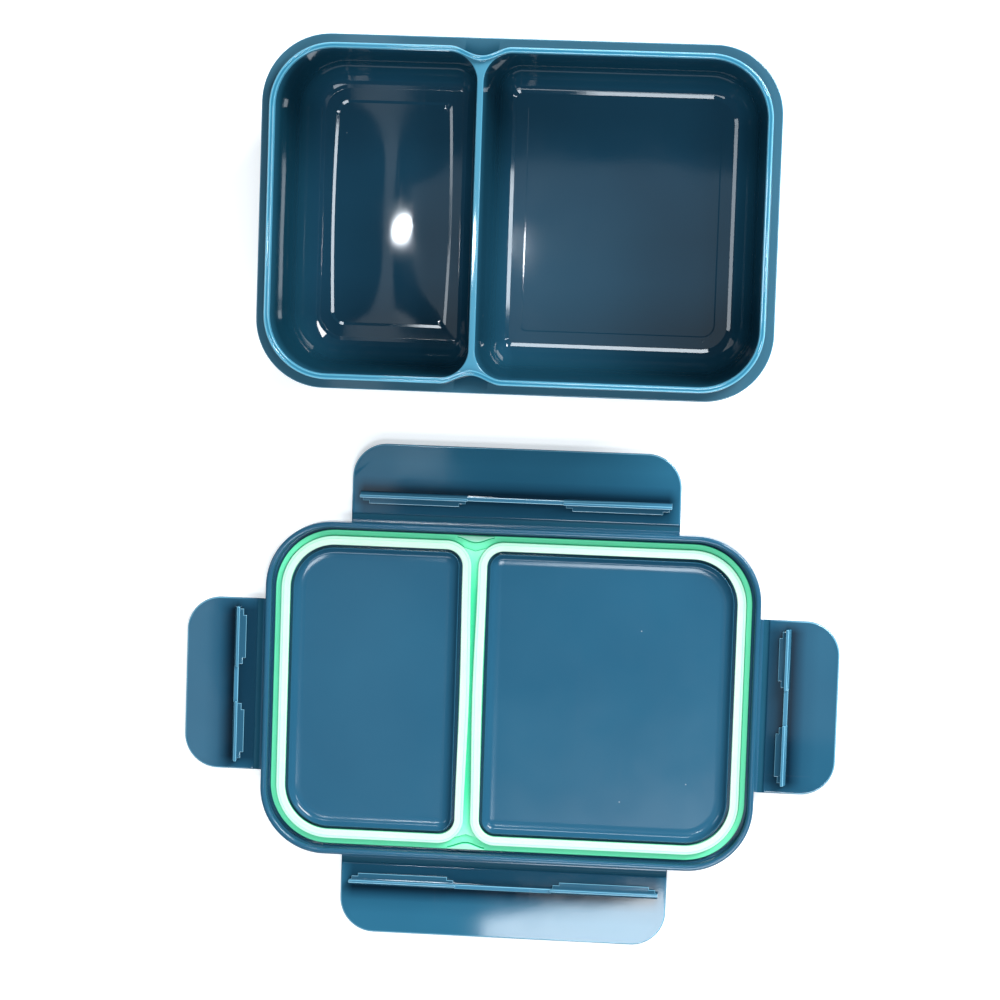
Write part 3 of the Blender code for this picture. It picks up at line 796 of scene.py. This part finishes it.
def add_ridge(bm, side):
    """The ridge inside a seal lip, and the sunk panel that its steep fillet and long low tail lead to."""
    start = LIP_WIDTH + LIP_GROOVE
    inner = start + RIDGE_WIDTH
    edge = 0.25 * MM
    rings = [add_ring(bm, lip_outline(side, start), LID_PLATE),
             add_ring(bm, lip_outline(side, start), RIDGE_TOP - edge)]
    for sine, cosine in quarter():
        rings.append(add_ring(bm, lip_outline(side, start + edge * cosine), RIDGE_TOP - edge * (1 - sine)))
    depth = RIDGE_TOP - LID_PLATE
    for step in range(1, FILLET_STEPS + 1):
        left = 1 - step / FILLET_STEPS
        height = (depth - PANEL_TAIL) * left ** 8 + PANEL_TAIL * left ** 2
        rings.append(add_ring(bm, lip_outline(side, inner + PANEL_FILLET * (1 - left)), LID_PLATE + height))
    bridge_all(bm, rings)
    add_dome(bm, rings[-1], LID_PLATE, 0.0)
    return rings[0]


def skirt_outline(inset):
    return rounded_outline(inset - LID_HALF_X, LID_HALF_X - inset, inset - LID_HALF_Y,
                           LID_HALF_Y - inset, [LID_RADIUS - inset] * 4)


def rounded_box(low, high, radius, segments=3):
    """A closed box with rounded edges, as a bmesh."""
    bm = bmesh.new()
    bmesh.ops.create_cube(bm, size=1.0)
    low, high = Vector(low), Vector(high)
    for vertex in bm.verts:
        share = vertex.co + Vector((0.5, 0.5, 0.5))
        vertex.co = Vector(low[i] + share[i] * (high[i] - low[i]) for i in range(3))
    bmesh.ops.bevel(bm, geom=list(bm.edges), offset=radius, segments=segments, profile=0.5,
                    affect="EDGES", clamp_overlap=True)
    return bm


def build_lid(material):
    bm = bmesh.new()
    sections = []
    edge = 1.1 * MM
    for sine, cosine in quarter(8):
        sections.append((skirt_outline(edge * (1 - sine)), edge * cosine))
    tip = 1.0 * MM
    for sine, cosine in quarter():
        sections.append((skirt_outline(tip * cosine), SKIRT_TIP - tip * (1 - sine)))
    for sine, cosine in quarter():
        sections.append((skirt_outline(SKIRT_WALL - tip * (1 - sine)), SKIRT_TIP - tip * cosine))
    root = 0.5 * MM
    for sine, cosine in quarter():
        sections.append((skirt_outline(SKIRT_WALL + root * cosine), LID_PLATE + root * (1 - sine)))
    rings = [add_ring(bm, outline, height) for outline, height in sections]
    bridge_all(bm, rings)
    fill(bm, rings[:1])
    fill(bm, [rings[-1], add_ridge(bm, -1), add_ridge(bm, 1)])
    lid = make_piece("lid_shell", bm, material, location=LID_CENTRE)

    ledges = []
    low_z, high_z = 1.9 * MM, 4.2 * MM
    bite = 1.2 * MM
    for width, reach, along_x in ((LONG_CLIP, LID_HALF_Y, True), (SHORT_CLIP, LID_HALF_X, False)):
        half = width / 2 - 0.1 * MM
        for side in (-1, 1):
            near, far = sorted((side * (reach - bite), side * (reach + LEDGE_REACH)))
            if along_x:
                box = rounded_box((-half, near, low_z), (half, far, high_z), 0.35 * MM)
            else:
                box = rounded_box((near, -half, low_z), (far, half, high_z), 0.35 * MM)
            ledges.append(make_piece("ledge", box, material, location=LID_CENTRE))
    join_solids(lid, ledges, material, PLAIN_CREASE)
    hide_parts("lid_panel")
    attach(lid, "lid")
    return lid


def toned_ring(bm, outline, height, painted_shading):
    """A ring that also carries its painted shading: 0 for painted shade in a crease, 1 for a painted highlight on a
    lip's crown.
    """
    layer = bm.verts.layers.float.get("painted_shading") or bm.verts.layers.float.new("painted_shading")
    ring = add_ring(bm, outline, height)
    for vertex in ring:
        vertex[layer] = painted_shading
    return ring


def build_seal(material):
    bm = bmesh.new()
    bm.verts.layers.float.new("painted_shading")
    outline = dipped_outline(SEAL_HALF_X, SEAL_HALF_Y, SEAL_RADIUS, 0.0)
    edge = 0.2 * MM
    inner = dipped_outline(SEAL_HALF_X - edge, SEAL_HALF_Y - edge, SEAL_RADIUS - edge, 0.0)
    rings = [toned_ring(bm, outline, SEAL_BOTTOM, 0.1), toned_ring(bm, outline, CHANNEL_TOP - edge, 0.1),
             toned_ring(bm, inner, CHANNEL_TOP, 0.48)]
    bridge_all(bm, rings)
    feet = []
    holes = []
    for side in (-1, 1):
        top = 0.7 * MM
        crown = 0.35 * MM
        groove = 0.2 * MM
        # The last number of each section is its painted shading
        sections = [(-0.7 * MM, CHANNEL_TOP, 0.0, 0.50), (-groove, CHANNEL_TOP, 0.0, 0.46),
                    (-groove * 0.7, CHANNEL_TOP - groove, 0.0, 0.02),
                    (-groove * 0.2, CHANNEL_TOP - groove, 0.0, 0.0),
                    (0.0, CHANNEL_TOP, 0.1, 0.12), (0.0, LIP_TOP - top, 0.85, 0.45)]
        for sine, cosine in quarter():
            sections.append((crown * cosine, LIP_TOP - top * (1 - sine), 1.0, 0.55 + 0.2 * sine))
        for across, drop, painted_shading in ((0.9, 0.0, 0.80), (0.98, 0.07, 0.62), (1.1, 0.07, 0.64), (1.18, 0.0, 0.90),
                                   (2.2, 0.0, 0.98), (2.5, 0.05, 0.84), (2.6, 0.0, 0.96)):
            sections.append((across * MM, LIP_TOP - drop * MM, 0.8, painted_shading))
        for sine, cosine in quarter():
            sections.append((LIP_WIDTH - crown * (1 - sine), LIP_TOP - top * cosine, 0.6,
                             0.92 - 0.3 * cosine))
        sections.append((LIP_WIDTH, SEAL_BOTTOM, 0.0, 0.1))
        lip = [toned_ring(bm, lip_outline(side, inset, LIP_BOW * share), height, painted_shading)
               for inset, height, share, painted_shading in sections]
        bridge_all(bm, lip)
        feet.append(lip[0])
        holes.append(lip[-1])
    fillers = [add_filler(bm, side) for side in (-1, 1)]
    fill(bm, [rings[-1]] + feet + fillers)
    fill(bm, [rings[0]] + holes)
    seal = make_piece("seal_ring", bm, material, location=LID_CENTRE)
    build_strip(material)
    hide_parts("gasket")
    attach(seal, "lid")
    return seal


def build_strip(material):
    """The raised strip between the two lips, whose pointed ends follow the rim's soft V."""
    bm = bmesh.new()
    bm.verts.layers.float.new("painted_shading")
    count = 20
    right = []
    tip_y = SEAL_HALF_Y - LIP_INSET - STRIP_DIP - 0.5 * MM
    flare = 7.2 * MM
    for step in range(-count, count + 1):
        along = step / count
        y = along * (tip_y + 2.0 * MM)
        near_end = max(0.0, (abs(y) - (tip_y - flare)) / (flare + 2.0 * MM))
        reach = LIP_SPACING_HALF + 0.35 * MM + 7.5 * MM * near_end ** 2.2
        right.append((reach, y))
    notch_y = tip_y - 0.6 * MM
    outline = [(DIVIDER_X + x, y) for x, y in right]
    outline.append((DIVIDER_X, notch_y))
    outline += [(DIVIDER_X - x, y) for x, y in reversed(right)]
    outline.append((DIVIDER_X, -notch_y))
    lower = toned_ring(bm, outline, SEAL_BOTTOM + 0.4 * MM, 0.3)
    foot = toned_ring(bm, outline, CHANNEL_TOP + 0.02 * MM, 0.0)
    edge = toned_ring(bm, outline, DIVIDER_STRIP_TOP - 0.25 * MM, 0.2)
    inner = [(DIVIDER_X + (x - DIVIDER_X) * 0.93, y * 0.996) for x, y in outline]
    upper = toned_ring(bm, inner, DIVIDER_STRIP_TOP, 0.5)
    bridge_all(bm, [lower, foot, edge, upper])
    fill(bm, [lower])
    fill(bm, [upper])
    # Painted shading on the strip's top: darker in its middle, paler towards its ends
    layer = bm.verts.layers.float["painted_shading"]
    for vertex in upper:
        vertex[layer] = 0.22 + 0.38 * (abs(vertex.co.y) / tip_y) ** 3
    strip = make_piece("seal_strip", bm, material, location=LID_CENTRE)
    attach(strip, "lid")


def add_filler(bm, side):
    """The raised filler outside the rim's dip, with a crease along its curved side."""
    half_width = DIP_HALF_WIDTH - 4.0 * MM
    depth = DIP_DEPTH - 1.4 * MM

    def outline(grow):
        points = []
        count = 24
        for step in range(1, count):
            along = 2 * step / count - 1
            drop = 0.7 * MM + depth * math.cos(along * math.pi / 2) ** 2 + grow
            points.append((DIVIDER_X - side * along * half_width, side * (SEAL_HALF_Y - drop)))
        back = 0.35 * MM
        points.append((DIVIDER_X - side * half_width * 0.9, side * (SEAL_HALF_Y - back)))
        points.append((DIVIDER_X + side * half_width * 0.9, side * (SEAL_HALF_Y - back)))
        return points

    # The last number of each section is its painted shading
    sections = ((0.45, CHANNEL_TOP, 0.52), (0.32, CHANNEL_TOP - 0.2 * MM, 0.0),
                (0.10, CHANNEL_TOP - 0.2 * MM, 0.0), (0.0, CHANNEL_TOP, 0.15), (0.0, 3.9 * MM, 0.40),
                (-0.12, 4.1 * MM, 0.5), (-0.35, 4.2 * MM, 0.68))
    rings = [toned_ring(bm, outline(grow * MM), height, painted_shading) for grow, height, painted_shading in sections]
    bridge_all(bm, rings)
    fill(bm, rings[-1:])
    return rings[0]


# ---------------------------------------------------------------- clips and hinges

def flap_outline(half_width, inset):
    radius = CLIP_RADIUS - inset
    x = half_width - inset - radius
    y = CLIP_REACH - inset - radius
    near = CLIP_START + inset
    small = 0.6 * MM
    return (corner(small - half_width + inset, near + small, small, 180, 4)
            + corner(half_width - inset - small, near + small, small, 270, 4)
            + corner(x, y, radius, 0) + corner(-x, y, radius, 90))


def profile_solid(profile, x0, x1, radius):
    """A solid with this outline in y and z, running from x0 to x1, with its edges rounded."""
    bm = bmesh.new()
    first = [bm.verts.new((x0, y, z)) for y, z in profile]
    last = [bm.verts.new((x1, y, z)) for y, z in profile]
    bridge(bm, first, last)
    bm.faces.new(first)
    bm.faces.new(last)
    bmesh.ops.recalc_face_normals(bm, faces=bm.faces)
    bmesh.ops.bevel(bm, geom=list(bm.edges), offset=radius, segments=2, profile=0.5,
                    affect="EDGES", clamp_overlap=True)
    return bm


def mark_rib_edges(clip, levels):
    """Marks the rounded upper edges of the flap, ribs and ledges for a painted highlight, but not the flap's edge
    at the hinge.
    """
    edge = clip.data.attributes.new("edge", "FLOAT", "POINT")
    for vertex in clip.data.vertices:
        if vertex.co.y < CLIP_START + 2.0 * MM:
            continue
        for level in levels:
            if 0.01 * MM < level - vertex.co.z < 0.25 * MM:
                edge.data[vertex.index].value = FLAP_SHARE if level == CLIP_THICK / 2 else 1.0


def build_clip(side, width, mid_share, turn, offset, material):
    """One snap clip: a flap, two stepped catch ribs on its inner face, and a lower rib between them."""
    half_width = width / 2
    half_thick = CLIP_THICK / 2
    place = LID_CENTRE + Vector((*offset, HINGE_HEIGHT))
    bm = bmesh.new()
    edge = 0.65 * MM
    sections = []
    for sine, cosine in quarter():
        sections.append((edge * (1 - sine), edge * cosine - half_thick))
    for sine, cosine in quarter():
        sections.append((edge * cosine, half_thick - edge * (1 - sine)))
    rings = [add_ring(bm, flap_outline(half_width, inset), height) for inset, height in sections]
    bridge_all(bm, rings)
    fill(bm, rings[:1])
    fill(bm, rings[-1:])
    clip = make_piece("snap_clip_" + side, bm, material, location=place, turn=turn)

    top = half_thick + RIB_HEIGHT
    step = half_thick + 1.0 * MM
    half_rib = half_width - RIB_END
    half_mid = mid_share * width / 2
    middle_top = half_thick + 2.4 * MM
    hook = ((HOOK_FACE, 0.0), (HOOK_FACE + HOOK_WIDTH, 0.0),
            (HOOK_FACE + HOOK_WIDTH - 0.2 * MM, half_thick + 0.2 * MM), (HOOK_FACE + 1.1 * MM, top),
            (HOOK_FACE, top))
    others = []
    for sign in (-1, 1):
        x0, x1 = sorted((sign * half_mid, sign * half_rib))
        others.append(profile_solid(hook, x0, x1, RIB_ROUNDING))
        for setback, near in ((1.0 * MM, HOOK_FACE - 1.3 * MM), (3.6 * MM, HOOK_FACE - 2.5 * MM)):
            low = (x0 + setback, near, 0.0)
            high = (x1 - setback, HOOK_FACE + 0.6 * MM, step)
            others.append(rounded_box(low, high, 0.25 * MM, 2))
    others.append(rounded_box((-half_mid - 0.6 * MM, HOOK_FACE + 0.1 * MM, 0.0),
                              (half_mid + 0.6 * MM, HOOK_FACE + 1.9 * MM, middle_top),
                              0.3 * MM, 2))
    guides = [make_piece("guide", other, material, location=place, turn=turn) for other in others]
    join_solids(clip, guides, material, CLIP_CREASE)
    mark_rib_edges(clip, (top, step, half_thick, middle_top))
    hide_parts("clip_" + side)
    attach(clip, "clip_" + side)
    return clip


def build_film(side, width, turn, offset, material):
    """The living hinge: one thin strip from the lid's ledge to the clip, thinnest on its axis."""
    half = width / 2 - 0.05 * MM
    place = LID_CENTRE + Vector((*offset, HINGE_HEIGHT))
    inner = -HINGE_OFFSET + LEDGE_REACH - 0.35 * MM
    outer = CLIP_START + 0.45 * MM
    upper = []
    lower = []
    count = 18
    for step in range(count + 1):
        y = inner + (outer - inner) * step / count
        thin = 0.16 * MM + 0.20 * MM * min(1.0, abs(y / (1.1 * MM))) ** 2
        upper.append((y, thin))
        lower.append((y, -thin))
    bm = bmesh.new()
    rings = []
    across = 8
    for step in range(across + 1):
        x = -half + 2 * half * step / across
        rings.append([bm.verts.new((x, y, z)) for y, z in upper + lower[::-1]])
    bridge_all(bm, rings)
    bm.faces.new(rings[0])
    bm.faces.new(rings[-1])
    strip = make_piece("hinge_strip_" + side, bm, material, location=place, turn=turn)
    strip.modifiers.clear()
    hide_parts("film_hinge_" + side)
    outward = Vector((-math.sin(turn), math.cos(turn), 0.0))
    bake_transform(strip, "lid", "clip_" + side, start=place - outward * 0.85 * MM, end=place + outward * 0.85 * MM)
    return strip


def build_clips(long_plastic, short_plastic, film):
    reach_x = LID_HALF_X + HINGE_OFFSET
    reach_y = LID_HALF_Y + HINGE_OFFSET
    sides = (("back", LONG_CLIP, 0.29, 0, (0.0, reach_y), long_plastic),
             ("left", SHORT_CLIP, 0.20, 90, (-reach_x, 0.0), short_plastic),
             ("front", LONG_CLIP, 0.29, 180, (0.0, -reach_y), long_plastic),
             ("right", SHORT_CLIP, 0.20, 270, (reach_x, 0.0), short_plastic))
    for side, width, mid_share, degrees, offset, plastic in sides:
        turn = math.radians(degrees)
        build_clip(side, width, mid_share, turn, offset, plastic)
        build_film(side, width, turn, offset, film)


# ---------------------------------------------------------------- stage, light and camera

def build_floor():
    """The plain pale floor, lit from within a little so that it stays bright."""
    bm = bmesh.new()
    corners = ((-FLOOR_HALF, -FLOOR_HALF), (FLOOR_HALF, -FLOOR_HALF),
               (FLOOR_HALF, FLOOR_HALF), (-FLOOR_HALF, FLOOR_HALF))
    bm.faces.new(add_ring(bm, corners, 0.0))
    mesh = bpy.data.meshes.new("floor")
    bm.to_mesh(mesh)
    bm.free()
    floor = bpy.data.objects.new("floor", mesh)
    bpy.context.scene.collection.objects.link(floor)
    floor.location = (0, 0, -FLOOR_GAP)
    material, _, _, shader = new_material("pale_floor")
    shader.inputs["Base Color"].default_value = (0.93, 0.93, 0.93, 1.0)
    shader.inputs["Roughness"].default_value = 0.9
    shader.inputs["Specular IOR Level"].default_value = 0.1
    shader.inputs["Emission Color"].default_value = (1.0, 1.0, 1.0, 1.0)
    shader.inputs["Emission Strength"].default_value = 0.45
    mesh.materials.append(material)


def add_softbox(name, location, aim, size, energy, colour=LIGHT_COLOUR):
    light = bpy.data.lights.new(name, "AREA")
    light.shape = "RECTANGLE"
    light.size, light.size_y = size
    light.energy = energy
    light.color = colour
    lamp = bpy.data.objects.new(name, light)
    bpy.context.scene.collection.objects.link(lamp)
    lamp.location = location
    lamp.rotation_euler = (Vector(aim) - Vector(location)).to_track_quat("-Z", "Y").to_euler()
    return lamp


def add_veil(name, x, y, size, energy):
    """A weak softbox straight above one spot, whose reflection pales one glossy face."""
    add_softbox(name, (x, y, VEIL_HEIGHT), (x, y, 0.0), size, energy)


def build_light():
    """A key, two front boxes, cards that the walls reflect, a glint, and the veils."""
    world = bpy.data.worlds.new("studio")
    bpy.context.scene.world = world
    world.use_nodes = True
    background = world.node_tree.nodes["Background"]
    background.inputs["Color"].default_value = (0.93, 0.96, 1.0, 1.0)
    background.inputs["Strength"].default_value = 0.04
    add_softbox("key_back_right", (1.10, 0.95, 0.85), STUDIO_MIDDLE, (0.9, 0.7), 50.0, KEY_COLOUR)
    add_softbox("front_box", (0.13, -0.72, 1.31), STUDIO_MIDDLE, (0.42, 0.38), 7.0)
    add_softbox("front_far", (0.0, -1.35, 1.1), STUDIO_MIDDLE, (1.5, 0.3), 9.0)
    add_softbox("side_left", (-0.95, -0.01, CARD_HEIGHT), (-0.08, -0.01, 0.0), (0.22, 0.40), 1.8)
    add_softbox("card_back", (-0.05, 0.93, CARD_HEIGHT), (0.0, -0.04, 0.0), (0.32, 0.26), 4.2)
    add_softbox("card_right", (0.66, -0.012, CARD_HEIGHT), (-0.08, 0.0, 0.0), (0.12, 0.34), 2.0)
    add_softbox("card_corner", (0.58, 0.66, CARD_HEIGHT), (-0.07, -0.05, 0.0), (0.22, 0.22), 2.2)
    glint = add_softbox("glint", (-0.148, -0.021, CARD_HEIGHT), (-0.06, 0.0, 0.0), (0.038, 0.085), 0.75)
    glint.data.shape = "ELLIPSE"
    add_veil("veil_right_floor", -0.012, -0.045, (0.235, 0.21), 0.094)
    add_veil("veil_left_floor", -0.245, 0.0, (0.05, 1.1), 0.16)
    add_veil("veil_back_clip", -0.215, -0.212, (0.09, 0.045), 0.018)
    add_veil("veil_left_clip", -0.42, -0.42, (0.08, 0.34), 0.09)
    add_veil("veil_right_clip", 0.165, -0.38, (0.07, 0.16), 0.02)


def build_camera():
    camera = bpy.data.cameras.new("camera")
    camera.sensor_width = CAMERA_SENSOR
    camera.lens = CAMERA_LENS
    camera.clip_start = 0.01
    camera.clip_end = 20.0
    holder = bpy.data.objects.new("camera", camera)
    bpy.context.scene.collection.objects.link(holder)
    holder.location = CAMERA_PLACE
    holder.rotation_euler = [math.radians(angle) for angle in CAMERA_TURN]
    bpy.context.scene.camera = holder


def main():
    plastic = plastic_material("blue_polypropylene", *LID_COLOURS, roughness=0.15, gloss=0.42)
    # Painted highlight on the clips' raised ribs
    rib_highlight = (CLIP_THICK / 2 + 0.4 * MM, 1.4 * MM, RIB_HIGHLIGHT_COLOUR)
    long_clip = plastic_material("long_clip_polypropylene", *LONG_CLIP_COLOURS, roughness=0.05, gloss=0.5,
                                 thin=rib_highlight, half_rib=LONG_CLIP / 2 - RIB_END)
    short_clip = plastic_material("short_clip_polypropylene", *SHORT_CLIP_COLOURS, roughness=0.05, gloss=0.5,
                                  thin=rib_highlight, half_rib=SHORT_CLIP / 2 - RIB_END)
    tray_plastic = tray_material("tray_polypropylene", TRAY_SHADING_TONES, roughness=0.045)
    film = plastic_material("hinge_polypropylene", *FILM_COLOURS, roughness=0.35, gloss=0.06)
    silicone = silicone_material("mint_silicone")
    build_tray(tray_plastic)
    build_lid(plastic)
    build_seal(silicone)
    build_clips(long_clip, short_clip, film)
    build_floor()
    build_light()
    build_camera()
    bpy.context.scene.view_settings.view_transform = "Standard"


main()
